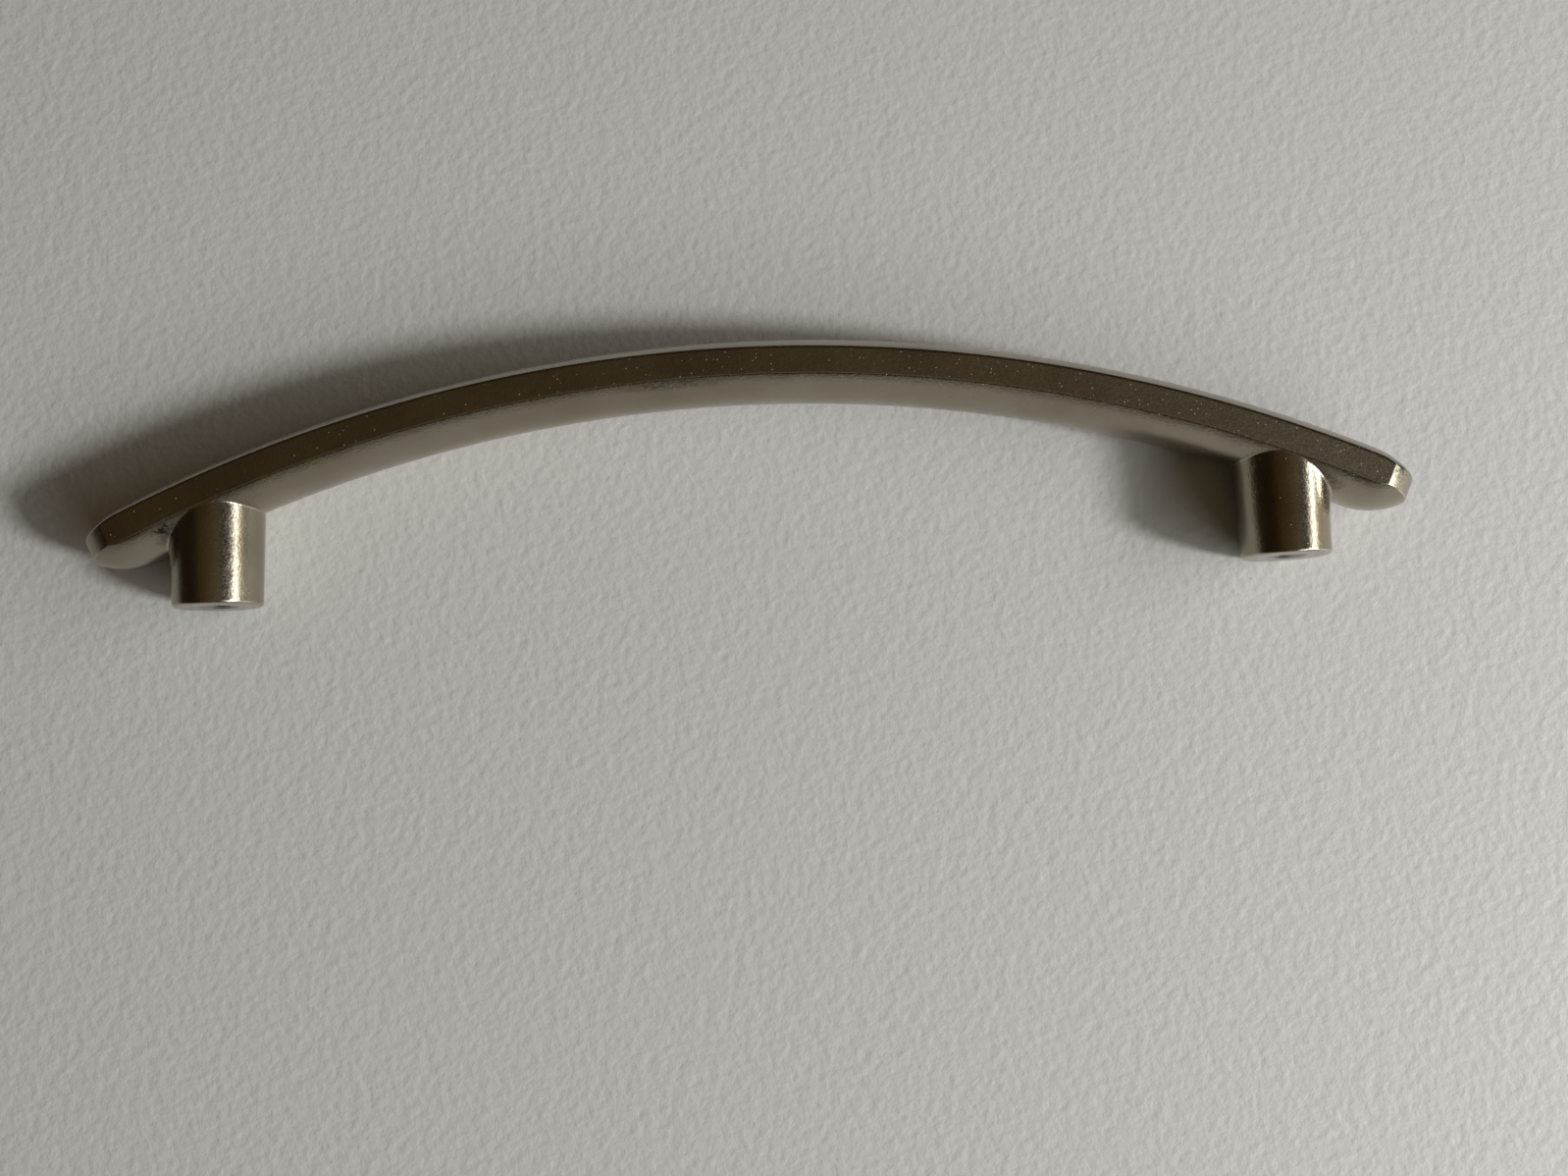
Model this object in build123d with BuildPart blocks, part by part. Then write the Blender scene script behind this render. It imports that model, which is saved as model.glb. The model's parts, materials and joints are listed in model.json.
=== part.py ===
from build123d import *
import math
import os

# Bow handle, a zinc die casting: an arched, crowned bar on two round posts.
# The posts stand on a drawer front at Y = 0, each held by a screw from behind.
# X runs along the bar, +Y points out of the post ends, Z is across the bar.
# All sizes are in millimetres.

# ---- fixing ----
hole_spacing = 128.0  # between the two screw holes
thread_core_d = 3.3  # core diameter of the M4 thread
hole_depth = 10.5  # full bore, before the drill point
drill_point_angle = 118.0
mouth_chamfer = 0.8

# ---- arched bar ----
end_overhang = 15.25  # from a screw hole's axis to the tip of the bar
projection = 29.1  # from the post ends to the crown of the bar
arch_radius = 173.5  # through the middle of the flat sides
bar_width = 11.3
side_height = 3.25  # flat side, between the two crowns
front_crown = 1.9
under_crown = 2.2
end_bulge = 3.95  # rounded end, past the corners of the flat sides
edge_round = 0.25

# ---- posts ----
post_base_d = 10.3
post_inset = 0.06  # from the bar's flat side in to the post, where the post ends
post_base_round = 0.35
junction_fillet = 0.3

# ---- derived: the arch and its section ----
half_width = bar_width / 2
outer_radius = arch_radius + side_height / 2
inner_radius = arch_radius - side_height / 2
ridge_outer = outer_radius + front_crown
ridge_inner = inner_radius - under_crown
arch_centre_y = ridge_outer - projection
arch_centre = Vector(0, arch_centre_y, 0)


def crown_fall(crown, offset):
    """Fall of a crown below its ridge, at a distance from the bar's centre line."""
    crown_radius = (half_width**2 + crown**2) / (2 * crown)
    return crown_radius - math.sqrt(crown_radius**2 - offset**2)


def arch_depth(radius, x):
    """Distance from the plane of the post ends to an arc of the arch, at a given x."""
    return math.sqrt(radius**2 - x**2) - arch_centre_y


# ---- derived: the domed ends ----
# The crowns run on past the flat sides, out to the radius of the ends.
end_radius = (half_width**2 + end_bulge**2) / (2 * end_bulge)
wall_outer = ridge_outer - crown_fall(front_crown, end_radius)
wall_inner = ridge_inner + crown_fall(under_crown, end_radius)

# Angle at the arch's centre, from its middle to the axis of a domed end.
half_length = hole_spacing / 2 + end_overhang
tip_angle = math.asin(half_length / math.hypot(wall_outer, end_radius))
end_angle = math.degrees(tip_angle - math.atan2(end_radius, wall_outer))

# ---- derived: the posts and their holes ----
half_spacing = hole_spacing / 2
base_r = post_base_d / 2
post_length = arch_depth(arch_radius, half_spacing)
root_r = half_width - post_inset
core_r = thread_core_d / 2
drill_point = core_r / math.tan(math.radians(drill_point_angle / 2))


def radial_plane(angle):
    """Plane through the arch's axis, with local x outwards and local y up."""
    turn = math.radians(angle)
    outwards = (math.sin(turn), -math.cos(turn), 0)
    facing = (-math.cos(turn), -math.sin(turn), 0)
    return Plane(origin=arch_centre, x_dir=outwards, z_dir=facing)


def post_plane(side):
    """Plane through a post's axis, with local y out of its end face."""
    return Plane(origin=(side * half_spacing, 0, 0), x_dir=(1, 0, 0), z_dir=(0, 0, 1))


def post_axis(side):
    """Axis of a post, which is the axis of its screw too."""
    return Axis((side * half_spacing, 0, 0), (0, 1, 0))


# The bar's section: x is the distance from the arch's axis, y is across the bar.
with BuildSketch(Plane.XY) as section:
    with BuildLine():
        front = ThreePointArc((wall_outer, end_radius), (ridge_outer, 0), (wall_outer, -end_radius))
        under = ThreePointArc((wall_inner, end_radius), (ridge_inner, 0), (wall_inner, -end_radius))
        Line(front @ 0, under @ 0)
        Line(front @ 1, under @ 1)
    make_face()

with BuildPart() as handle:
    # The bar: its section turned about the axis of the arch.
    with BuildSketch(radial_plane(-end_angle)):
        add(section.sketch)
    revolve(axis=Axis(arch_centre, (0, 0, 1)), revolution_arc=2 * end_angle)

    # The domed ends: the upper half of the section turned about its centre line.
    for side in (-1, 1):
        end_plane = radial_plane(side * end_angle)
        with BuildSketch(end_plane):
            add(section.sketch)
            split(bisect_by=Plane.XZ, keep=Keep.BOTTOM)
        revolve(axis=Axis(arch_centre, end_plane.x_dir * -side), revolution_arc=180)

    # The flat sides, which meet the domed ends in a crisp corner.
    split(bisect_by=Plane.XY.offset(half_width), keep=Keep.BOTTOM)
    split(bisect_by=Plane.XY.offset(-half_width), keep=Keep.TOP)

    # A small round on every edge of the flat sides and of the end walls.
    flat_sides = handle.faces().filter_by(Axis.Z)
    end_walls = handle.faces().filter_by(GeomType.CYLINDER)
    fillet(set(flat_sides.edges()) | set(end_walls.edges()), radius=edge_round)

    # The posts: flared towards the bar, with a softened foot and a blended seat.
    for side in (-1, 1):
        with BuildSketch(post_plane(side)) as post_profile:
            with BuildLine():
                Polyline(
                    (0, 0),
                    (base_r, 0),
                    (root_r, -post_length),
                    (0, -post_length),
                    close=True,
                )
            make_face()
            foot = vertices().group_by(Axis.Y)[-1].sort_by(Axis.X)[-1]
            fillet(foot, radius=post_base_round)
        revolve(axis=post_axis(side))
        fillet(edges(Select.NEW), radius=junction_fillet)

    # Blind holes for the screws: a chamfered mouth, the bore and the drill point.
    for side in (-1, 1):
        with BuildSketch(post_plane(side)):
            with BuildLine():
                Polyline(
                    (0, 0),
                    (core_r + mouth_chamfer, 0),
                    (core_r, -mouth_chamfer),
                    (core_r, -hole_depth),
                    (0, -hole_depth - drill_point),
                    close=True,
                )
            make_face()
        revolve(axis=post_axis(side), mode=Mode.SUBTRACT)

handle.part.label = "handle"

os.makedirs("parts", exist_ok=True)
export_step(handle.part, "parts/handle.step")
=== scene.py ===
"""Looks of a satin nickel bow handle: the casting's skin and finish, the floor, light and camera."""

import json
import logging
import math
from dataclasses import dataclass
from enum import Enum

import bmesh
import bpy
import numpy as np
from mathutils import Euler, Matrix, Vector


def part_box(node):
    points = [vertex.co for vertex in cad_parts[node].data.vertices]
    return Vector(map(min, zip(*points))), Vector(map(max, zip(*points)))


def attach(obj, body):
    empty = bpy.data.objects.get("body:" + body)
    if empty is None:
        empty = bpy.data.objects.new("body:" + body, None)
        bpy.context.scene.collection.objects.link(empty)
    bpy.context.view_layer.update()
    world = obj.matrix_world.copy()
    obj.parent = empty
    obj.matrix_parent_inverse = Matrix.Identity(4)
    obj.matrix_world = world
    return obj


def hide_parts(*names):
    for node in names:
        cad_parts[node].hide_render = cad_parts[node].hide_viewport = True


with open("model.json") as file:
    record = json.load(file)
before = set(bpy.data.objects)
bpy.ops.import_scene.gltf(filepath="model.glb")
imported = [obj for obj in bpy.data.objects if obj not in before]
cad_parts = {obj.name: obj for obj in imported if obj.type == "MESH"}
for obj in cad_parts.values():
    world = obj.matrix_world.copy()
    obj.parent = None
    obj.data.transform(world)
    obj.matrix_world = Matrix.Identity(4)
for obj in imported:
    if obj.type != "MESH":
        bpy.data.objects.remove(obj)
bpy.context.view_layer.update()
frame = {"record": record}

MM = 0.001
SAME_PLACE = 1e-7  # points closer than this, in metres, are one point
Numbers = float | np.ndarray  # one number, or a whole grid of them
log = logging.getLogger("bow_handle")


# ---- node and mesh helpers ----


def linear(hex_colour: str) -> tuple[float, float, float, float]:
    """Turn an sRGB hex colour into linear light.

    Args:
        hex_colour: The colour as "#RRGGBB".

    Returns:
        Red, green, blue and alpha, each from 0 to 1.
    """
    coded = np.array([int(hex_colour[i : i + 2], 16) for i in (1, 3, 5)]) / 255
    light = np.where(coded <= 0.04045, coded / 12.92, ((coded + 0.055) / 1.055) ** 2.4)
    return (*light.tolist(), 1.0)


def add_node(tree: bpy.types.NodeTree, kind: str, links: dict | None = None, **settings) -> bpy.types.Node:
    """Add one node, with its settings and what is plugged into it.

    Args:
        tree: The node tree that gets the node.
        kind: The node's Blender type, such as "ShaderNodeMath".
        links: Socket name or number to an output socket, a node's first output, or a plain value.
        **settings: Properties of the node itself.

    Returns:
        The new node.
    """
    node = tree.nodes.new(kind)
    for name, value in settings.items():
        setattr(node, name, value)
    for socket, value in (links or {}).items():
        if isinstance(value, bpy.types.Node):
            value = value.outputs[0]
        if isinstance(value, bpy.types.NodeSocket):
            tree.links.new(value, node.inputs[socket])
        else:
            node.inputs[socket].default_value = value
    return node


def hump(rows: int) -> np.ndarray:
    """Rise from 0 to 1 and fall back over a number of rows, as half a sine wave does."""
    return np.sin(np.linspace(0, math.pi, rows))[:, None]


@dataclass
class Sheet:
    """A grid of points, rows by columns, that becomes part of a surface.

    Attributes:
        points: Place of each point, rows x columns x 3.
        worn_and_sheen: How much each point is rubbed, and lightened as a painted highlight on the rims,
            from 0 to 1, rows x columns.
        bare: 1 where the metal is cut and has no plating, rows x columns.
        matt: 1 on the flat walls, which are ground more matt than the rest, rows x columns.
        cells: True for each cell that gets a face, rows - 1 x columns.
    """

    points: np.ndarray
    worn_and_sheen: np.ndarray
    bare: np.ndarray
    matt: np.ndarray
    cells: np.ndarray

    def faces(self, first: int) -> np.ndarray:
        """List the cells as four corners each; the last column joins the first.

        Args:
            first: Number of this sheet's first point in the whole mesh.

        Returns:
            Corner numbers, cells x 4.
        """
        rows, columns = self.points.shape[:2]
        number = first + np.arange(rows * columns).reshape(rows, columns)
        beside = np.roll(number, -1, axis=1)
        corners = np.stack([number[:-1], beside[:-1], beside[1:], number[1:]], axis=-1)
        return corners[self.cells]


def weld(name: str, sheets: list[Sheet]) -> bpy.types.Object:
    """Join sheets into one closed surface.

    Points in the same place become one, and the faces turn outwards.

    Args:
        name: Name of the piece.
        sheets: The grids, which share the points along their borders.

    Returns:
        The new object, at the origin.
    """
    starts = np.cumsum([0] + [sheet.worn_and_sheen.size for sheet in sheets])
    points = np.concatenate([sheet.points.reshape(-1, 3) for sheet in sheets])
    faces = np.concatenate([sheet.faces(start) for sheet, start in zip(sheets, starts)])
    mesh = bpy.data.meshes.new(name)
    mesh.from_pydata(points.tolist(), [], faces.tolist())
    for attribute in ("worn_and_sheen", "bare", "matt"):
        values = np.concatenate([getattr(sheet, attribute).ravel() for sheet in sheets])
        layer = mesh.attributes.new(attribute, "FLOAT", "POINT")
        layer.data.foreach_set("value", values.astype(np.float32))
    surface = bmesh.new()
    surface.from_mesh(mesh)
    bmesh.ops.remove_doubles(surface, verts=surface.verts, dist=SAME_PLACE)
    bmesh.ops.delete(surface, geom=[v for v in surface.verts if not v.link_faces], context="VERTS")
    bmesh.ops.recalc_face_normals(surface, faces=surface.faces)
    surface.to_mesh(mesh)
    surface.free()
    mesh.shade_smooth()
    piece = bpy.data.objects.new(name, mesh)
    bpy.context.scene.collection.objects.link(piece)
    return piece


# ---- the casting ----


class Side(Enum):
    """Which end of the bar a post stands at."""

    LEFT = -1
    RIGHT = 1


@dataclass
class ArchedBar:
    """The bar: a lens-shaped section carried along an arch, with domed ends.

    Attributes:
        width: Across the bar, between its flat sides.
        projection: From the post ends to the crown of the bar.
        half_spacing: From the middle to a screw hole.
        arch_radius: Through the middle of the flat sides.
        side_height: Flat side, between the two crowns.
        front_crown: Rise of the front over its edges.
        under_crown: Rise of the underside over its edges.
        end_overhang: From a screw hole's axis to the tip of the bar.
        end_bulge: Rounded end, past the corners of the flat sides.
        front_round: Round on the front's edges, the part that hands rub.
        edge_round: Small round on the underside's edges.
        corner_round: Upright corner between a flat side and an end wall.
        patch_reach: From a screw hole to the inner edge of its post's patch.
        front_sheen_and_wear: How much the front's edges are rubbed and lightened as a painted highlight,
            against 1 on the underside's.
        patch_stations: Sections over one post's patch.
        middle_stations: Sections between the two patches.
        side_columns: Points on the straight stretch of a domed end, on each side.
        corner_columns: Points round each of its corners.
        end_columns: Points along its end wall.
        crown_rows: Rings from the middle line of a crown nearly out to its rim.
        round_rows: Rings over the round of an edge.
    """

    width: float
    projection: float
    half_spacing: float
    arch_radius: float = 173.5 * MM
    side_height: float = 3.25 * MM
    front_crown: float = 1.9 * MM
    under_crown: float = 2.2 * MM
    end_overhang: float = 15.245 * MM
    end_bulge: float = 3.95 * MM
    front_round: float = 0.45 * MM
    edge_round: float = 0.25 * MM
    corner_round: float = 0.5 * MM
    patch_reach: float = 7.5 * MM
    front_sheen_and_wear: float = 0.2
    patch_stations: int = 41
    middle_stations: int = 94
    side_columns: int = 4
    corner_columns: int = 6
    end_columns: int = 41
    crown_rows: int = 13
    round_rows: int = 7

    def __post_init__(self) -> None:
        """Work out the radii, centres and angles that the sizes above give."""
        half = self.width / 2
        self.half_width = half
        self.ridge_outer = self.arch_radius + self.side_height / 2 + self.front_crown
        self.ridge_inner = self.arch_radius - self.side_height / 2 - self.under_crown
        self.centre_y = self.ridge_outer - self.projection
        self.front_radius = (half**2 + self.front_crown**2) / (2 * self.front_crown)
        self.under_radius = (half**2 + self.under_crown**2) / (2 * self.under_crown)
        self.front_centre = self.ridge_outer - self.front_radius
        self.under_centre = self.ridge_inner + self.under_radius
        self.end_radius = (half**2 + self.end_bulge**2) / (2 * self.end_bulge)
        wall_top = self.front_centre + math.sqrt(self.front_radius**2 - self.end_radius**2)
        half_length = self.half_spacing + self.end_overhang
        tip_angle = math.asin(half_length / math.hypot(wall_top, self.end_radius))
        self.end_angle = tip_angle - math.atan2(self.end_radius, wall_top)

    def place(self, angle: Numbers, along: Numbers, across: Numbers, radius: Numbers) -> np.ndarray:
        """Turn places on the bar into places in space.

        The point lies at a distance from the arch's axis in the direction of the angle,
        then moves along the tangent there, and across the bar.

        Args:
            angle: Angle from the middle of the arch.
            along: Distance along the tangent, past that angle.
            across: Distance across the bar.
            radius: Distance from the arch's axis.

        Returns:
            Points, with x, y and z last.
        """
        x = radius * np.sin(angle) + along * np.cos(angle)
        y = self.centre_y - radius * np.cos(angle) + along * np.sin(angle)
        return np.stack(np.broadcast_arrays(x, y, across), axis=-1)

    def under_depth(self, x: Numbers, across: Numbers) -> Numbers:
        """Depth of the underside behind the drawer front, over a place on it.

        Across the bar the underside is an arc, and along it a circle about the arch's axis.

        Args:
            x: Place along the drawer front.
            across: Place across the bar.

        Returns:
            Distance from the drawer front to the underside.
        """
        radius = self.under_centre - np.sqrt(self.under_radius**2 - across**2)
        return np.sqrt(radius**2 - x**2) - self.centre_y

    def end_outline(self) -> tuple[np.ndarray, np.ndarray]:
        """Outline of a domed end in plan, from one flat side round to the other.

        It is a straight stretch, a small corner arc, the big arc of the end wall, and the
        same again mirrored. Plan places are along and across, from the dome's centre line.

        Returns:
            The outline's points and its outward normals, each points x 2.
        """
        across = self.half_width - self.corner_round
        along = math.sqrt((self.end_radius - self.corner_round) ** 2 - across**2)
        start = math.atan2(across, along)
        steps = np.linspace(0, along, self.side_columns + 2)[1:-1]
        straight = np.stack([steps, np.full_like(steps, self.half_width)], axis=-1)
        corner_turn = np.linspace(math.pi / 2, start, self.corner_columns + 1)[:-1]
        corner = np.stack([np.cos(corner_turn), np.sin(corner_turn)], axis=-1)
        end_turn = np.linspace(start, -start, self.end_columns)
        end = np.stack([np.cos(end_turn), np.sin(end_turn)], axis=-1)
        half_points = [straight, np.array([along, across]) + self.corner_round * corner]
        half_normals = [np.tile([0.0, 1.0], (self.side_columns, 1)), corner]
        mirror = np.array([1.0, -1.0])
        mirrored_points = [half[::-1] * mirror for half in half_points[::-1]]
        mirrored_normals = [half[::-1] * mirror for half in half_normals[::-1]]
        points = np.concatenate(half_points + [end * self.end_radius] + mirrored_points)
        normals = np.concatenate(half_normals + [end] + mirrored_normals)
        return points, normals

    def stations(self) -> tuple[np.ndarray, int]:
        """Angles at which the section is set: close together over the posts, wider between them.

        Returns:
            The angles from one end to the other, and how many of them lie over one post.
        """
        patch_start = math.asin((self.half_spacing - self.patch_reach) / self.ridge_inner)
        patch = np.linspace(patch_start, self.end_angle, self.patch_stations)
        middle = np.linspace(-patch_start, patch_start, self.middle_stations + 2)[1:-1]
        return np.concatenate([-patch[::-1], middle, patch]), patch.size

    def crown(
        self,
        outline: np.ndarray,
        outward: np.ndarray,
        sign: int,
        radius: float,
        centre: float,
        edge_round: float,
    ) -> tuple[np.ndarray, np.ndarray]:
        """Work out one crown of the bar and the round that joins it to the wall.

        The crown is a sphere's cap over the outline's plan: its height is the centre's, plus or
        minus the root of the radius squared less the plan distance squared. The round is an arc
        whose centre lies its own radius inside both the wall and the crown, and whose direction
        swings evenly from the wall's normal to the crown's.

        Args:
            outline: The wall in plan, points x 2.
            outward: The wall's normals, points x 2.
            sign: 1 for the front, which rises away from the arch's axis, -1 for the underside.
            radius: Radius of the crown.
            centre: Distance from the arch's axis to the crown's centre.
            edge_round: Radius of the round.

        Returns:
            The crown, from its middle line out, and the round, from the wall to the crown. Both
            are rows x points x 3: along, across and distance from the arch's axis.
        """
        ball = outline - edge_round * outward
        reach = radius - edge_round
        rise = sign * np.sqrt(reach**2 - np.sum(ball**2, axis=1))
        lean = np.column_stack([ball, rise]) / reach
        flat = np.column_stack([outward, np.zeros(len(outward))])
        turn = np.arccos(np.sum(lean * flat, axis=1))
        share = np.linspace(0, 1, self.round_rows)[:, None]
        from_wall = (np.sin((1 - share) * turn) / np.sin(turn))[..., None]
        from_crown = (np.sin(share * turn) / np.sin(turn))[..., None]
        direction = from_wall * flat + from_crown * lean
        rounds = np.column_stack([ball, centre + rise]) + edge_round * direction
        # A last ring close to the rim keeps the round's shading off the crown.
        inset = np.append(np.linspace(0, 0.98, self.crown_rows), 1.0)[:, None, None]
        plan = inset * rounds[-1][None, :, :2]
        height = centre + sign * np.sqrt(radius**2 - np.sum(plan**2, axis=-1))
        return np.concatenate([plan, height[..., None]], axis=-1), rounds

    def surface(self) -> tuple[Sheet, dict[Side, np.ndarray]]:
        """Work out the bar's skin as one grid: round the bar by from its front ridge to its under ridge.

        Each column starts on the front's middle line, runs out over the crown, turns the
        small round, goes down the wall, turns the other round, and runs in under the bar. At
        the ends the columns fan out from the dome's centre line. The cells under each post are
        left open.

        Returns:
            The grid, and for each side the open border, points x 3, as a closed loop.
        """
        angles, patch_size = self.stations()
        end_points, end_normals = self.end_outline()
        count, end_count = angles.size, len(end_points)
        flip = np.array([-1.0, -1.0])
        side = np.tile([0.0, self.half_width], (count, 1))
        normal = np.tile([0.0, 1.0], (count, 1))
        outline = np.concatenate([side, end_points, -side, end_points * flip])
        outward = np.concatenate([normal, end_normals, -normal, end_normals * flip])
        ends = np.full(end_count, self.end_angle)
        angle = np.concatenate([angles, ends, angles[::-1], -ends])

        front_sizes = self.front_radius, self.front_centre, self.front_round
        under_sizes = self.under_radius, self.under_centre, self.edge_round
        front, front_edge = self.crown(outline, outward, 1, *front_sizes)
        under, under_edge = self.crown(outline, outward, -1, *under_sizes)
        # The wall's first and last rows lie close to the rounds, for the same reason as the crown's.
        down = np.array([0.04, 0.28, 0.52, 0.76, 0.96])[:, None, None]
        wall = front_edge[0] * (1 - down) + under_edge[0] * down
        layers = [front, front_edge[-2::-1], wall, under_edge, under[-2::-1]]
        grid = np.concatenate(layers)
        wall_foot = sum(len(layer) for layer in layers[:3])
        seam = wall_foot + len(under_edge) - 1

        points = self.place(angle, grid[..., 0], grid[..., 1], grid[..., 2])
        # Rims: rubbed by hands, and lightened as a painted highlight.
        worn_and_sheen = np.zeros(points.shape[:2])
        edge = hump(self.round_rows + 1)
        worn_and_sheen[len(front) - 1 : len(front) - 1 + len(edge)] = self.front_sheen_and_wear * edge
        worn_and_sheen[wall_foot - 1 : wall_foot - 1 + len(edge)] = edge
        matt = np.zeros_like(worn_and_sheen)
        matt[wall_foot - len(wall) : wall_foot] = 1

        cells = np.ones((len(points) - 1, len(angle)), dtype=bool)
        loops = {}
        patches = {Side.LEFT: slice(0, patch_size), Side.RIGHT: slice(count - patch_size, count)}
        for where, columns in patches.items():
            opposite = 2 * count + end_count - 1 - np.arange(columns.start, columns.stop)
            cells[seam:, columns.start : columns.stop - 1] = False
            cells[seam:, opposite.min() : opposite.max()] = False
            upper, lower = points[seam:, columns], points[seam:][:, opposite]
            upper_sides = [upper[0], upper[1:, -1]]
            lower_sides = [lower[-2::-1, -1], lower[0, -2::-1], lower[1:, 0]]
            loops[where] = np.concatenate([*upper_sides, *lower_sides, upper[-2:0:-1, 0]])
        return Sheet(points, worn_and_sheen, np.zeros_like(worn_and_sheen), matt, cells), loops


@dataclass
class TappedHole:
    """A blind hole for a screw: a chamfered mouth, a coarse thread and a drill point.

    Attributes:
        core_radius: Radius at the tips of the thread.
        depth: Full bore, before the drill point.
        thread_length: From the drawer front to the end of the full thread.
        thread_depth: From the thread's tips to its roots.
        pitch: Distance from one turn to the next.
        tip_flat: Flat on the thread's tips, as a share of the pitch.
        root_flat: Flat in its roots, as a share of the pitch.
        mouth_chamfer: Width and depth of the mouth's chamfer.
        point_angle: Angle across the drill point, in degrees.
        wall_rows: Rings from the drill point to the mouth.
    """

    core_radius: float
    depth: float = 10.5 * MM
    thread_length: float = 9.7 * MM
    thread_depth: float = 0.36 * MM
    pitch: float = 0.7 * MM
    tip_flat: float = 0.25
    root_flat: float = 0.125
    mouth_chamfer: float = 0.8 * MM
    point_angle: float = 118.0
    wall_rows: int = 151

    def profile(self, around: np.ndarray) -> tuple[np.ndarray, np.ndarray]:
        """Radius and depth of the hole's wall, from the drill point out to the mouth.

        The thread's radius follows a trapezoid wave whose phase grows with depth and falls
        with the angle around, so that it climbs one pitch in a turn. It fades out over one
        pitch at its end. The chamfer's cone cuts it where the cone is wider.

        Args:
            around: Angle of each column about the hole's axis.

        Returns:
            Radius and depth, each rows x columns.
        """
        point = self.core_radius / math.tan(math.radians(self.point_angle / 2))
        depth = np.linspace(self.depth, 0, self.wall_rows)[:, None] + 0 * around
        phase = (depth / self.pitch - around / (2 * math.pi)) % 1
        triangle = 1 - np.abs(2 * phase - 1)
        wave = np.clip((triangle - self.tip_flat) / (1 - self.tip_flat - self.root_flat), 0, 1)
        fade = np.clip((self.thread_length + self.pitch - depth) / self.pitch, 0, 1)
        thread = self.core_radius + self.thread_depth * wave * fade
        chamfer = self.core_radius + self.mouth_chamfer - depth
        radius = np.maximum(thread, chamfer)
        near_rim = 0.99 * self.core_radius  # a ring close to the point's rim keeps that edge crisp
        tip = np.stack([np.zeros_like(around), np.full_like(around, near_rim)])
        tip_depth = self.depth + point * (1 - tip / self.core_radius)
        return np.concatenate([tip, radius]), np.concatenate([tip_depth, depth])


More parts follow.
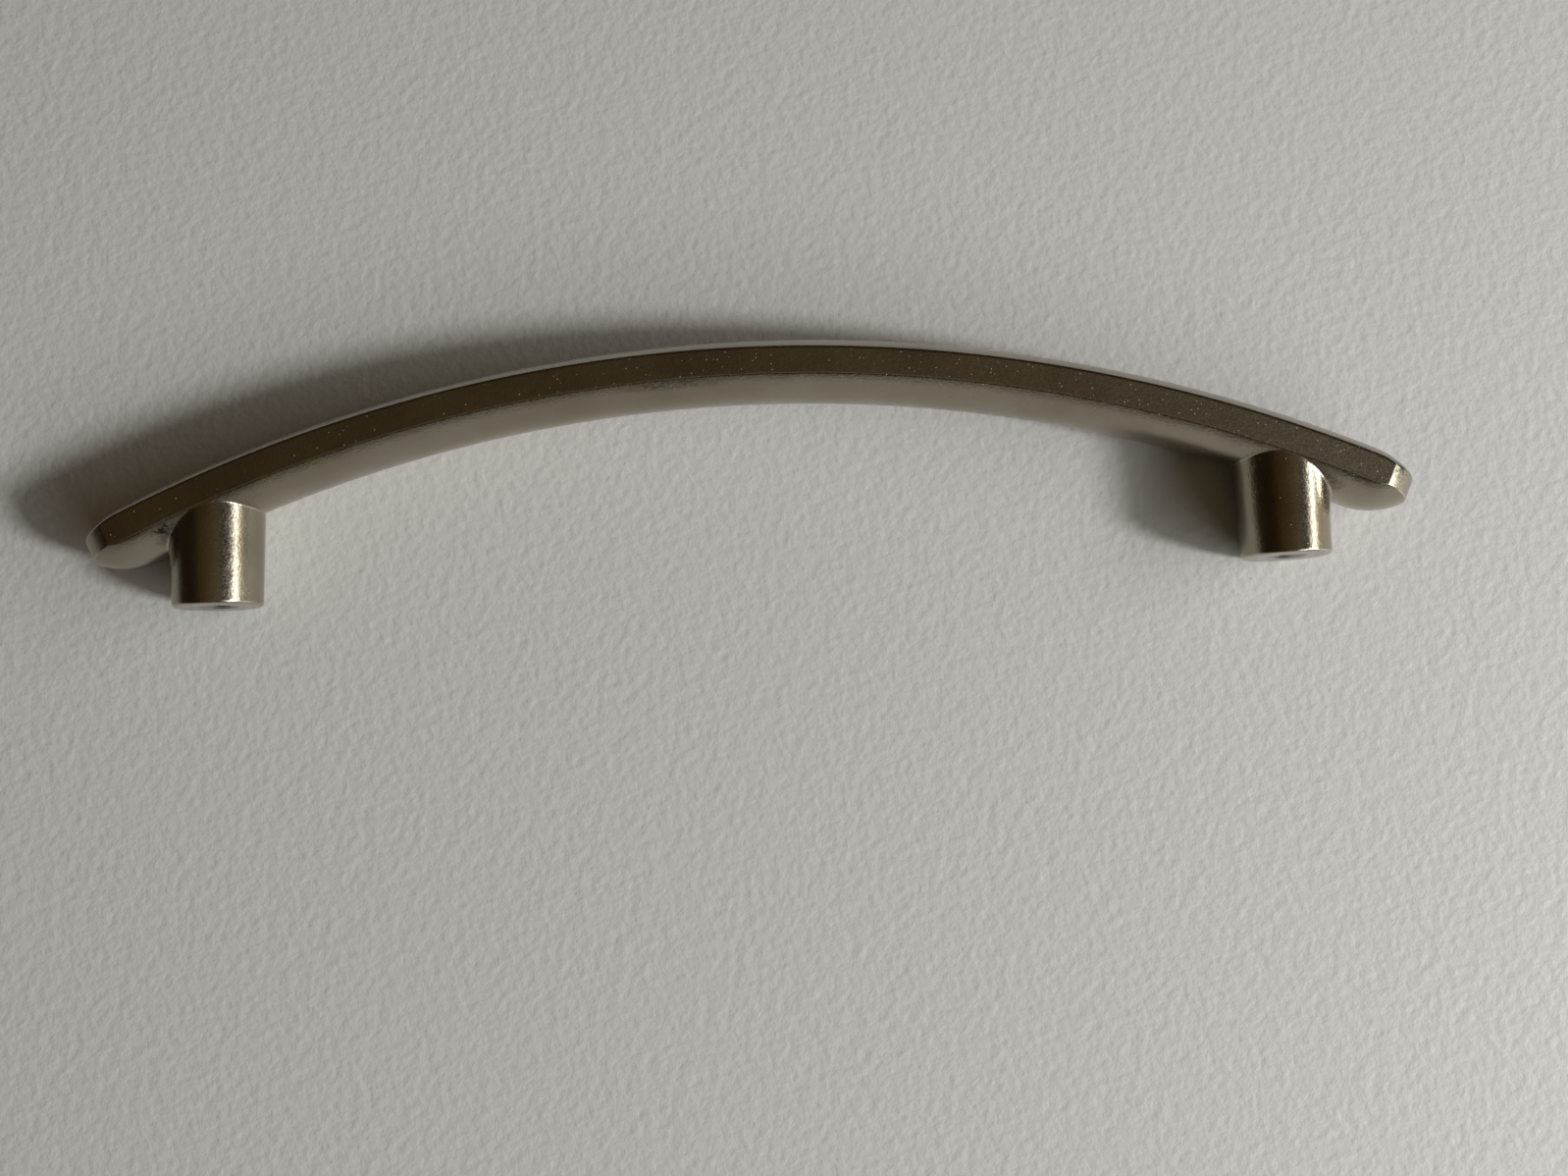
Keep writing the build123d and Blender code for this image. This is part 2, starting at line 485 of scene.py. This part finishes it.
@dataclass
class Post:
    """A round post, flared towards the bar, with a screw hole in its end.

    Attributes:
        side: Which end of the bar it stands at.
        hole: The screw hole in its end.
        base_diameter: At the drawer front.
        inset: From the bar's flat side in to the post, where the post ends.
        foot_round: Round at the edge of the end face.
        junction_fillet: Blend between the post and the underside of the bar.
        junction_sheen_and_wear: How much that blend is rubbed and lightened as a painted highlight,
            against 1 on the foot's edge.
        foot_rows: Rings over the foot's round.
        blend_rows: Rings over the blend.
        under_rows: Rings on the underside, from the blend out to the border.
    """

    side: Side
    hole: TappedHole
    base_diameter: float = 10.3 * MM
    inset: float = 0.06 * MM
    foot_round: float = 0.35 * MM
    junction_fillet: float = 0.3 * MM
    junction_sheen_and_wear: float = 0.6
    foot_rows: int = 9
    blend_rows: int = 9
    under_rows: int = 10

    def under(self, bar: ArchedBar, around: np.ndarray, radius: np.ndarray) -> np.ndarray:
        """Depth of the bar's underside at an angle about the post's axis and a distance from it."""
        axis_x = self.side.value * bar.half_spacing
        return bar.under_depth(axis_x + radius * np.cos(around), radius * np.sin(around))

    def flare(self, bar: ArchedBar) -> float:
        """Growth of the post's radius for each metre towards the bar."""
        length = math.sqrt(bar.arch_radius**2 - bar.half_spacing**2) - bar.centre_y
        return (bar.half_width - self.inset - self.base_diameter / 2) / length

    def blend(self, bar: ArchedBar, around: np.ndarray, border_radius: np.ndarray) -> np.ndarray:
        """Work out the blend between the flared side and the underside of the bar.

        The seat is where the side meets the underside: its radius is the base's plus the flare
        times the depth there, found by putting each guess back in. The blend is a circular
        arc, drawn as a rational curve whose corner is the seat and whose corner's weight is
        the sine of half the angle between side and underside.

        Args:
            bar: The bar that the post stands on.
            around: Angle of each column about the post's axis.
            border_radius: How far the border is from the axis, for each column.

        Returns:
            Radius and depth, rows x 2 x columns, from the side to the underside.
        """
        base, flare = self.base_diameter / 2, self.flare(bar)
        seat = np.full_like(around, base)
        for _ in range(30):
            seat = base + flare * self.under(bar, around, seat)
        seat_depth = self.under(bar, around, seat)
        step = 0.02 * MM
        rise = self.under(bar, around, seat + step) - self.under(bar, around, seat - step)
        slope = rise / (2 * step)
        opening = np.arccos((-flare - slope) / np.hypot(1, flare) / np.hypot(1, slope))
        leg = self.junction_fillet / np.tan(opening / 2)
        room = 0.7 * (border_radius - seat)  # the blend stops well inside the border
        reach = seat + np.minimum(leg / np.hypot(1, slope), room)
        start = np.stack([seat - flare * leg, seat_depth - leg])
        corner = np.stack([seat, seat_depth])
        stop = np.stack([reach, self.under(bar, around, reach)])
        share = np.linspace(0, 1, self.blend_rows)[:, None, None]
        bend = 2 * share * (1 - share) * np.sin(opening / 2)
        total = (1 - share) ** 2 + bend + share**2
        return ((1 - share) ** 2 * start + bend * corner + share**2 * stop) / total

    def surface(self, bar: ArchedBar, border: np.ndarray) -> Sheet:
        """Work out the post's skin as rings about its axis, from the drill point out to the bar.

        Every column is a profile in a half plane through the axis: the hole, the end face,
        the foot's round, the flared side, the blend, and the underside out to the border. The
        columns' angles are those of the border's points.

        Args:
            bar: The bar that the post stands on.
            border: The open loop in the bar's skin, points x 3.

        Returns:
            The grid of rings.
        """
        axis_x = self.side.value * bar.half_spacing
        around = np.arctan2(border[:, 2], border[:, 0] - axis_x)
        border_radius = np.hypot(border[:, 2], border[:, 0] - axis_x)
        ones = np.ones_like(around)
        flare = self.flare(bar)
        blend = self.blend(bar, around, border_radius)

        hole_radius, hole_depth = self.hole.profile(around)
        # Flat stretches have rings close to each end, which keep the rounds' shading off them.
        mouth = self.hole.core_radius + self.hole.mouth_chamfer
        foot_centre = self.base_diameter / 2 + self.foot_round * (flare - math.hypot(1, flare))
        face = mouth + (foot_centre - mouth) * np.array([0.04, 0.5, 0.96])
        turn = np.linspace(-math.pi / 2, -math.atan(flare), self.foot_rows)
        foot_radius = foot_centre + self.foot_round * np.cos(turn)
        foot_depth = self.foot_round * (1 + np.sin(turn))
        up = np.array([0.02, 0.2, 0.4, 0.6, 0.8, 0.98])[:, None]
        side_radius = foot_radius[-1] * (1 - up) + blend[0, 0] * up
        side_depth = foot_depth[-1] * (1 - up) + blend[0, 1] * up
        out = np.linspace(0, 1, self.under_rows + 1)[1:, None]
        under_radius = blend[-1, 0] * (1 - out) + border_radius * out
        rings = [
            (hole_radius, hole_depth),
            (face[:, None] * ones, np.zeros((len(face), 1)) * ones),
            (foot_radius[:, None] * ones, foot_depth[:, None] * ones),
            (side_radius, side_depth),
            (blend[:, 0], blend[:, 1]),
            (under_radius, self.under(bar, around, under_radius)),
        ]
        radius = np.concatenate([ring[0] for ring in rings])
        depth = np.concatenate([ring[1] for ring in rings])
        points = np.stack([axis_x + radius * np.cos(around), -depth, radius * np.sin(around)], axis=-1)
        points[-1] = border

        # Rims: rubbed by hands, and lightened as a painted highlight.
        worn_and_sheen = np.zeros(radius.shape)
        foot_row = len(hole_radius) + len(face)
        worn_and_sheen[foot_row : foot_row + self.foot_rows] = hump(self.foot_rows)
        blend_row = foot_row + self.foot_rows + len(up)
        worn_and_sheen[blend_row : blend_row + self.blend_rows] = self.junction_sheen_and_wear * hump(self.blend_rows)
        bare = np.zeros(radius.shape)
        bare[: len(hole_radius)] = 1
        cells = np.ones((len(radius) - 1, len(around)), dtype=bool)
        return Sheet(points, worn_and_sheen, bare, np.zeros_like(worn_and_sheen), cells)


@dataclass(frozen=True)
class DarkPatch:
    """A soft-edged dark patch at one place on the plate: dried dirt in most places, painted shade in the
    corner beside a post.

    Attributes:
        centre: Its middle, in the frame.
        reach: How far it spreads along x, y and z.
        strength: How dark it is, from 0 to 1.
    """

    centre: tuple[float, float, float]
    reach: tuple[float, float, float]
    strength: float

    def mask(self, tree: bpy.types.NodeTree, place: bpy.types.NodeSocket) -> bpy.types.Node:
        """Make a mask that falls from the strength in the middle to 0 at the reach.

        Args:
            tree: The node tree that gets the nodes.
            place: Object coordinates.

        Returns:
            The node whose output is the mask.
        """
        offset = add_node(tree, "ShaderNodeVectorMath", {0: place, 1: self.centre}, operation="SUBTRACT")
        scaled = add_node(tree, "ShaderNodeVectorMath", {0: offset, 1: self.reach}, operation="DIVIDE")
        far = add_node(tree, "ShaderNodeVectorMath", {0: scaled}, operation="LENGTH").outputs["Value"]
        limits = {"Value": far, "From Min": 0.2, "From Max": 1.0, "To Min": self.strength, "To Max": 0.0}
        return add_node(tree, "ShaderNodeMapRange", limits, interpolation_type="SMOOTHSTEP")


@dataclass(frozen=True)
class SatinNickel:
    """Satin nickel plate on a zinc die casting, tumbled and blasted before it was plated.

    The eye sees a warm grey mirror, softened by a fine even grain, that slowly waves with
    the casting under it. The flat walls were ground first and stay more matt than the rest.
    There are a few pits, painted dark as shade, grey-green stains, painted shade in the corner beside a
    post, grains of dust, and rims rubbed brighter with a painted highlight on them.
    Reliefs and the rises in roughness are for the full share of each layer.

    Attributes:
        plate: The nickel itself.
        tarnish: Nickel dulled by age, in slow patches.
        rubbed_sheen: Lighter nickel on the rims: polished by hands, and a painted highlight.
        stain_and_shade: Dark grey-green: dirt that has dried on, and painted shade in the pits and in the
            corner beside a post.
        dust: Grains of dust that catch the light.
        zinc: The casting's own metal, in the tapped hole.
        wave_size: Distance between the slow waves of the cast surface.
        lump_size: Distance between the lumps that tumbling left.
        grain_size: Distance between the blasted grains, drawn four times as coarse, so that they show.
        patch_size: Distance between the tarnished patches.
        flake_size: Distance between the flakes that break up the dirt and the painted shade.
        speck_spacing: Distance between the places where a grain of dust or a pit may be.
        speck_radius: Radius of a grain of dust or a pit.
        pit_share: Share of those places that hold a pit.
        dust_on_walls: Share that holds dust on the matt walls, in the middle of the bar.
        dust_slope: Growth of that share for each metre towards the end at negative x.
        smooth_rough: Roughness of the finest grain.
        coarse_rough: Roughness of the coarsest grain.
        matt_rise: More roughness on the ground walls.
        soil_and_shade_rise: More roughness under dried dirt and under the painted shade.
        dust_rise: More roughness on a grain of dust.
        wave_relief: Height of the waves, in millimetres.
        lump_relief: Height of the lumps, in millimetres.
        grain_relief: Height of the grain, in millimetres.
        pit_relief: Height of the pits, in millimetres: they go in, so it is negative.
    """

    plate: str = "#A39C8D"
    tarnish: str = "#958D7C"
    rubbed_sheen: str = "#D3CDBF"
    stain_and_shade: str = "#22241B"
    dust: str = "#F0EEE8"
    zinc: str = "#A7A9AA"
    wave_size: float = 3.5 * MM
    lump_size: float = 1.0 * MM
    grain_size: float = 0.28 * MM
    patch_size: float = 9.0 * MM
    flake_size: float = 0.5 * MM
    speck_spacing: float = 0.45 * MM
    speck_radius: float = 0.06 * MM
    pit_share: float = 0.08
    dust_on_walls: float = 0.32
    dust_slope: float = 0.002 / MM
    smooth_rough: float = 0.17
    coarse_rough: float = 0.27
    matt_rise: float = 0.09
    soil_and_shade_rise: float = 0.15
    dust_rise: float = 0.6
    wave_relief: float = 0.05
    lump_relief: float = 0.012
    grain_relief: float = 0.024
    pit_relief: float = -0.03

    def soil_and_shade(
        self, tree: bpy.types.NodeTree, place: bpy.types.NodeSocket, dark_patches: list[DarkPatch]
    ) -> bpy.types.Node:
        """Make the share of dried dirt and painted shade: the patches together, broken up into flakes.

        Args:
            tree: The node tree that gets the nodes.
            place: Object coordinates.
            dark_patches: Where the plate is dirty, and where shade is painted on it.

        Returns:
            The node whose output is the share.
        """
        masks = [dark_patch.mask(tree, place) for dark_patch in dark_patches]
        together = masks[0]
        for mask in masks[1:]:
            together = add_node(tree, "ShaderNodeMath", {0: together, 1: mask}, operation="MAXIMUM")
        flakes = {"Vector": place, "Scale": 1 / self.flake_size, "Detail": 5.0, "Roughness": 0.6}
        flake = add_node(tree, "ShaderNodeTexNoise", flakes)
        limits = {"Value": flake, "From Min": 0.44, "From Max": 0.56, "To Min": 0.1, "To Max": 1.0}
        broken = add_node(tree, "ShaderNodeMapRange", limits)
        return add_node(tree, "ShaderNodeMath", {0: together, 1: broken}, operation="MULTIPLY")

    def specks(
        self, tree: bpy.types.NodeTree, place: bpy.types.NodeSocket, matt: bpy.types.NodeSocket
    ) -> tuple[bpy.types.Node, bpy.types.Node]:
        """Make the shares of dust and of pits: one dot in each cell, of a kind drawn by lot. The pits are
        painted dark as shade in their hollows.

        More cells hold dust towards the end that stands at negative x, and on the matt walls.

        Args:
            tree: The node tree that gets the nodes.
            place: Object coordinates.
            matt: Share of the matt walls.

        Returns:
            The node for dust and the node for pits.
        """
        cells = add_node(tree, "ShaderNodeTexVoronoi", {"Vector": place, "Scale": 1 / self.speck_spacing})
        lot = add_node(tree, "ShaderNodeSeparateColor", {0: cells.outputs["Color"]})
        rim = self.speck_radius / self.speck_spacing
        limits = {"Value": cells, "From Min": 0.5 * rim, "From Max": rim, "To Min": 1.0, "To Max": 0.0}
        dot = add_node(tree, "ShaderNodeMapRange", limits)
        along = add_node(tree, "ShaderNodeSeparateXYZ", {0: place}).outputs["X"]
        clean = {0: matt, 1: -self.dust_on_walls, 2: 1.0}
        clean = add_node(tree, "ShaderNodeMath", clean, operation="MULTIPLY_ADD")
        clean = {0: along, 1: self.dust_slope, 2: clean}
        clean = add_node(tree, "ShaderNodeMath", clean, operation="MULTIPLY_ADD")
        dusty = add_node(tree, "ShaderNodeMath", {0: lot, 1: clean}, operation="GREATER_THAN")
        pitted = add_node(tree, "ShaderNodeMath", {0: lot, 1: self.pit_share}, operation="LESS_THAN")
        dust = add_node(tree, "ShaderNodeMath", {0: dot, 1: dusty}, operation="MULTIPLY")
        pits = add_node(tree, "ShaderNodeMath", {0: dot, 1: pitted}, operation="MULTIPLY")
        return dust, pits

    def material(self, dark_patches: list[DarkPatch]) -> bpy.types.Material:
        """Build the node tree.

        Args:
            dark_patches: Where the plate is dirty, and where shade is painted on it.

        Returns:
            The material.
        """
        material = bpy.data.materials.new("satin_nickel_plate")
        material.use_nodes = True
        tree = material.node_tree
        tree.nodes.clear()
        place = add_node(tree, "ShaderNodeTexCoord").outputs["Object"]
        worn_and_sheen = add_node(tree, "ShaderNodeAttribute", attribute_name="worn_and_sheen").outputs["Fac"]
        bare = add_node(tree, "ShaderNodeAttribute", attribute_name="bare").outputs["Fac"]
        matt = add_node(tree, "ShaderNodeAttribute", attribute_name="matt").outputs["Fac"]
        noise = {"Vector": place, "Scale": 1 / self.wave_size, "Detail": 2.0}
        wave = add_node(tree, "ShaderNodeTexNoise", noise)
        noise = {"Vector": place, "Scale": 1 / self.lump_size, "Detail": 2.0}
        lump = add_node(tree, "ShaderNodeTexNoise", noise)
        noise = {"Vector": place, "Scale": 1 / self.grain_size, "Detail": 3.0}
        grain = add_node(tree, "ShaderNodeTexNoise", noise)
        noise = {"Vector": place, "Scale": 1 / self.patch_size, "Detail": 4.0}
        patch = add_node(tree, "ShaderNodeTexNoise", noise)
        dust, pits = self.specks(tree, place, matt)
        soil_and_shade = self.soil_and_shade(tree, place, dark_patches)

        # Colour: tarnish in patches, rims lightened by rubbing and a painted highlight, dirt, painted
        # shade in the corner beside a post and in the pits, dust, and bare zinc in the holes.
        dull = add_node(tree, "ShaderNodeMapRange", {"Value": patch, "From Min": 0.4, "From Max": 0.7})
        # Rims lighter: rubbed by hands, and a painted highlight along them.
        rubbed_sheen = add_node(tree, "ShaderNodeMath", {0: worn_and_sheen, 1: grain}, operation="MULTIPLY")
        aged = ((dull, self.tarnish), (rubbed_sheen, self.rubbed_sheen))
        # The pits take the dark stain colour as painted shade in their hollows.
        marked = ((soil_and_shade, self.stain_and_shade), (pits, self.stain_and_shade), (dust, self.dust), (bare, self.zinc))
        colour = linear(self.plate)
        for share, coat in (*aged, *marked):
            mixed = {0: share, 6: colour, 7: linear(coat)}
            colour = add_node(tree, "ShaderNodeMix", mixed, data_type="RGBA").outputs[2]

        # Dust is no metal, and dried dirt and the painted shade are only a thin film over it.
        film = {0: soil_and_shade, 1: -0.2, 2: 1.0}
        metal = add_node(tree, "ShaderNodeMath", film, operation="MULTIPLY_ADD")
        metal = add_node(tree, "ShaderNodeMath", {0: metal, 1: dust}, operation="SUBTRACT", use_clamp=True)

        # Roughness: finer and coarser with the grain, more on the ground walls, under dirt and the painted
        # shade, and on dust.
        limits = {"Value": grain, "From Min": 0.3, "From Max": 0.7}
        limits |= {"To Min": self.smooth_rough, "To Max": self.coarse_rough}
        rough = add_node(tree, "ShaderNodeMapRange", limits)
        for share, rise in ((matt, self.matt_rise), (soil_and_shade, self.soil_and_shade_rise), (dust, self.dust_rise)):
            risen = {0: share, 1: rise, 2: rough}
            rough = add_node(tree, "ShaderNodeMath", risen, operation="MULTIPLY_ADD", use_clamp=True)

        # Relief in millimetres: each layer adds its own height, and the rims are rubbed smooth.
        smooth = add_node(tree, "ShaderNodeMath", {0: worn_and_sheen, 1: -0.7, 2: 1.0}, operation="MULTIPLY_ADD")
        coarse = add_node(tree, "ShaderNodeMath", {0: grain, 1: smooth}, operation="MULTIPLY")
        cast = ((wave, self.wave_relief), (lump, self.lump_relief))
        relief = 0.0
        for layer, height in (*cast, (coarse, self.grain_relief), (pits, self.pit_relief)):
            raised = {0: layer, 1: height, 2: relief}
            relief = add_node(tree, "ShaderNodeMath", raised, operation="MULTIPLY_ADD")
        normal = add_node(tree, "ShaderNodeBump", {"Height": relief, "Strength": 1.0, "Distance": MM})
        sockets = {"Base Color": colour, "Metallic": metal, "Roughness": rough, "Normal": normal}
        shader = add_node(tree, "ShaderNodeBsdfPrincipled", sockets)
        add_node(tree, "ShaderNodeOutputMaterial", {"Surface": shader})
        return material


@dataclass
class BowHandle:
    """The whole handle: one casting of an arched bar on two posts.

    Attributes:
        bar: The arched bar.
        posts: The two posts.
        finish: What covers them all.
    """

    bar: ArchedBar
    posts: list[Post]
    finish: SatinNickel

    def build(self) -> bpy.types.Object:
        """Make the casting's skin as one closed surface.

        Returns:
            The piece.
        """
        skin, borders = self.bar.surface()
        sheets = [skin] + [post.surface(self.bar, borders[post.side]) for post in self.posts]
        return weld("handle_casting", sheets)

    def beneath(self, x: float, across: float) -> tuple[float, float, float]:
        """Find the place on the bar's underside over a place on the drawer front."""
        return x, -self.bar.under_depth(x, across), across

    def dark_patches(self) -> list[DarkPatch]:
        """List the dark patches: dirt smudged under the bar and on a tip, and painted shade in the corner
        beside a post.

        Returns:
            The blemishes.
        """
        smudge = self.beneath(8.5 * MM, 5.1 * MM)
        # The corner beside a post gets painted shade, where the tip and the post shade the underside.
        corner = self.beneath(self.bar.half_spacing + 4.4 * MM, 4.8 * MM)
        tip = self.bar.place(-self.bar.end_angle, along=-3.0 * MM, across=5.2 * MM, radius=174.3 * MM)
        return [
            DarkPatch(centre=smudge, reach=(8 * MM, 2 * MM, 1.0 * MM), strength=0.6),
            DarkPatch(centre=corner, reach=(2.4 * MM, 2 * MM, 1.6 * MM), strength=1.0),
            DarkPatch(centre=tuple(tip.tolist()), reach=(1.6 * MM, 1.6 * MM, 1.6 * MM), strength=0.9),
        ]

    def dress(self, piece: bpy.types.Object) -> None:
        """Give the casting its finish and its place in the frame."""
        piece.data.materials.append(self.finish.material(self.dark_patches()))
        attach(piece, "root")
        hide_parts("handle")


# ---- floor, light and camera ----


@dataclass(frozen=True)
class PaleFloor:
    """Matt white laminate, pressed with a fine pebble grain, so that it looks softly uneven.

    Attributes:
        level: Height of the floor.
        colour: Colour of the laminate.
        roughness: Its roughness.
        half_size: From the middle of the floor to its edge.
        pebble_size: Distance between the pebbles of its grain.
        pebble_relief: Their height.
    """

    level: float
    colour: str = "#DEDEDB"
    roughness: float = 0.55
    half_size: float = 3.0
    pebble_size: float = 1.2 * MM
    pebble_relief: float = 0.14 * MM

    def build(self) -> bpy.types.Object:
        """Make the floor as a flat grid under the handle.

        Returns:
            The floor.
        """
        across = np.linspace(-self.half_size, self.half_size, 9)
        x, y = np.meshgrid(across, across, indexing="ij")
        points = np.stack([x, y, np.full_like(x, self.level)], axis=-1)
        number = np.arange(x.size).reshape(x.shape)
        faces = np.stack([number[:-1, :-1], number[1:, :-1], number[1:, 1:], number[:-1, 1:]], axis=-1)
        mesh = bpy.data.meshes.new("floor")
        mesh.from_pydata(points.reshape(-1, 3).tolist(), [], faces.reshape(-1, 4).tolist())
        floor = bpy.data.objects.new("floor", mesh)
        bpy.context.scene.collection.objects.link(floor)
        return floor

    def dress(self, floor: bpy.types.Object) -> None:
        """Give the floor its matt, faintly grained finish."""
        material = bpy.data.materials.new("white_laminate")
        material.use_nodes = True
        tree = material.node_tree
        tree.nodes.clear()
        place = add_node(tree, "ShaderNodeTexCoord").outputs["Object"]
        noise = {"Vector": place, "Scale": 1 / self.pebble_size, "Detail": 3.0}
        pebbles = add_node(tree, "ShaderNodeTexNoise", noise)
        relief = {"Height": pebbles, "Strength": 1.0, "Distance": self.pebble_relief}
        normal = add_node(tree, "ShaderNodeBump", relief)
        sockets = {"Base Color": linear(self.colour), "Roughness": self.roughness, "Normal": normal}
        shader = add_node(tree, "ShaderNodeBsdfPrincipled", sockets)
        add_node(tree, "ShaderNodeOutputMaterial", {"Surface": shader})
        floor.data.materials.append(material)


def towards(height_angle: float, side_angle: float) -> Vector:
    """Point from the handle to one side.

    Args:
        height_angle: How high over the floor, in degrees.
        side_angle: How far towards the post ends, in degrees.

    Returns:
        The direction, of length 1.
    """
    high, aside = math.radians(height_angle), math.radians(side_angle)
    return Vector((-math.cos(high) * math.cos(aside), math.cos(high) * math.sin(aside), math.sin(high)))


def hang(lamp: bpy.types.Light, place: Vector) -> None:
    """Hang a lamp at a place, so that it shines back at the handle."""
    holder = bpy.data.objects.new(lamp.name, lamp)
    holder.location = place
    holder.rotation_euler = place.to_track_quat("Z", "Y").to_euler()
    bpy.context.scene.collection.objects.link(holder)


@dataclass(frozen=True)
class Panel:
    """A lit rectangle that faces the handle.

    Attributes:
        name: Name of the lamp.
        size: Its width along the floor and its height.
        power: In watts.
        colour: Colour of its light.
        height_angle: How high it stands over the floor, in degrees.
        side_angle: How far it stands towards the post ends, in degrees.
        distance: From the frame's origin.
    """

    name: str
    size: tuple[float, float]
    power: float
    colour: str
    height_angle: float
    side_angle: float
    distance: float

    def build(self) -> None:
        """Make the lamp and hang it."""
        lamp = bpy.data.lights.new(self.name, "AREA")
        lamp.shape = "RECTANGLE"
        lamp.size, lamp.size_y = self.size
        lamp.energy = self.power
        lamp.color = linear(self.colour)[:3]
        hang(lamp, towards(self.height_angle, self.side_angle) * self.distance)


@dataclass(frozen=True)
class Daylight:
    """Soft daylight, low from one side: a wide near window, its pale sill, and the sky behind.

    Attributes:
        window: The window.
        sill: The sill below it.
        sky_strength: Light of the sky through the window, in watts for each square metre.
        sky_spread: Angle across the bright part of the sky, in degrees.
    """

    window: Panel = Panel("window", (0.72, 0.1), 1.25, "#FFFFFF", 30.0, 22.0, 0.45)
    sill: Panel = Panel("sill", (0.6, 0.16), 0.17, "#F4E8BC", 11.0, 0.0, 0.5)
    sky_strength: float = 1.8
    sky_spread: float = 10.0

    def build(self) -> None:
        """Hang the window, the sill and the sky."""
        self.window.build()
        self.sill.build()
        sky = bpy.data.lights.new("sky", "SUN")
        sky.energy = self.sky_strength
        sky.angle = math.radians(self.sky_spread)
        hang(sky, towards(self.window.height_angle, self.window.side_angle))


@dataclass(frozen=True)
class DimRoom:
    """The room around: low down a band that is paler towards the light, darker walls, and a brown ceiling.

    Attributes:
        low_far: Light from the lowest part of the walls, away from the window.
        low_near: The same, on the window's side.
        wall: Light from the rest of the walls.
        ceiling_far: Light from above, away from the window.
        ceiling_near: The same, on the window's side.
        light_side: Where the window's side is, as a direction along the floor.
        near_from: How far a direction leans to that side where the near colours start.
        near_full: The same, where they are full.
        wall_edge: Height of a direction, as a sine, from where to where the low band turns into wall.
        ceiling_edge: The same, from where to where the wall turns into ceiling.
    """

    low_far: str = "#5E5A50"
    low_near: str = "#8C897F"
    wall: str = "#2A2114"
    ceiling_far: str = "#4E3F24"
    ceiling_near: str = "#786D5A"
    light_side: tuple[float, float, float] = (-0.7, 0.7, 0.0)
    near_from: float = -0.2
    near_full: float = 0.5
    wall_edge: tuple[float, float] = (0.02, 0.22)
    ceiling_edge: tuple[float, float] = (0.78, 0.95)

    def build(self) -> None:
        """Set the world's light: bands by the height of its direction, paler towards the window."""
        world = bpy.data.worlds.new("studio")
        bpy.context.scene.world = world
        world.use_nodes = True
        tree = world.node_tree
        tree.nodes.clear()
        direction = add_node(tree, "ShaderNodeTexCoord").outputs["Generated"]
        pair = {0: direction, 1: self.light_side}
        lean = add_node(tree, "ShaderNodeVectorMath", pair, operation="DOT_PRODUCT").outputs["Value"]
        limits = {"Value": lean, "From Min": self.near_from, "From Max": self.near_full}
        near = add_node(tree, "ShaderNodeMapRange", limits)
        height = add_node(tree, "ShaderNodeSeparateXYZ", {0: direction}).outputs["Z"]
        pair = {0: near, 6: linear(self.low_far), 7: linear(self.low_near)}
        low = add_node(tree, "ShaderNodeMix", pair, data_type="RGBA").outputs[2]
        pair = {0: near, 6: linear(self.ceiling_far), 7: linear(self.ceiling_near)}
        ceiling = add_node(tree, "ShaderNodeMix", pair, data_type="RGBA").outputs[2]
        colour = low
        for edge, above in ((self.wall_edge, linear(self.wall)), (self.ceiling_edge, ceiling)):
            limits = {"Value": height, "From Min": edge[0], "From Max": edge[1]}
            share = add_node(tree, "ShaderNodeMapRange", limits, interpolation_type="SMOOTHSTEP")
            pair = {0: share, 6: colour, 7: above}
            colour = add_node(tree, "ShaderNodeMix", pair, data_type="RGBA").outputs[2]
        glow = add_node(tree, "ShaderNodeBackground", {"Color": colour, "Strength": 1.0})
        add_node(tree, "ShaderNodeOutputWorld", {"Surface": glow})


@dataclass(frozen=True)
class CloseCamera:
    """A camera held over the handle, a little past its post ends, with a wide lens.

    Attributes:
        place: Where the lens stands, from the frame's origin.
        turn: The camera's turn about x, y and z, in degrees.
        lens: Focal length, in millimetres.
        sensor_width: In millimetres.
        clip_start: Nearest distance that the camera sees.
    """

    place: tuple[float, float, float] = (-4.76 * MM, 17.47 * MM, 169.72 * MM)
    turn: tuple[float, float, float] = (5.555, 0.557, 177.333)
    lens: float = 32.73
    sensor_width: float = 36.0
    clip_start: float = 0.01

    def build(self) -> None:
        """Set up the camera and make it the scene's own."""
        lens = bpy.data.cameras.new("camera")
        lens.sensor_width = self.sensor_width
        lens.lens = self.lens
        lens.clip_start = self.clip_start
        camera = bpy.data.objects.new("camera", lens)
        camera.location = self.place
        camera.rotation_euler = Euler([math.radians(angle) for angle in self.turn], "XYZ")
        bpy.context.scene.collection.objects.link(camera)
        bpy.context.scene.camera = camera


def main() -> None:
    """Build the handle, the floor, the light and the camera, in that order."""
    logging.basicConfig(level=logging.INFO, format="%(name)s: %(message)s")
    bpy.context.scene.view_settings.view_transform = "Standard"
    low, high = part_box("handle")
    mounts = {mount["name"]: mount for mount in frame["record"]["mounts"]}
    screws = mounts["screw_holes"]["dims"]
    half_spacing = screws["spacing_x_mm"] / 2 * MM
    bar = ArchedBar(width=high[2] - low[2], projection=-low[1], half_spacing=half_spacing)
    posts = [Post(side, TappedHole(core_radius=screws["hole_r_mm"] * MM)) for side in Side]
    handle = BowHandle(bar, posts, SatinNickel())
    casting = handle.build()
    handle.dress(casting)
    log.info("casting: %d faces", len(casting.data.polygons))
    ground = PaleFloor(level=low[2])
    ground.dress(ground.build())
    log.info("floor at %.2f mm", low[2] / MM)
    DimRoom().build()
    Daylight().build()
    CloseCamera().build()
    log.info("light and camera are set")


if __name__ == "__main__":
    main()
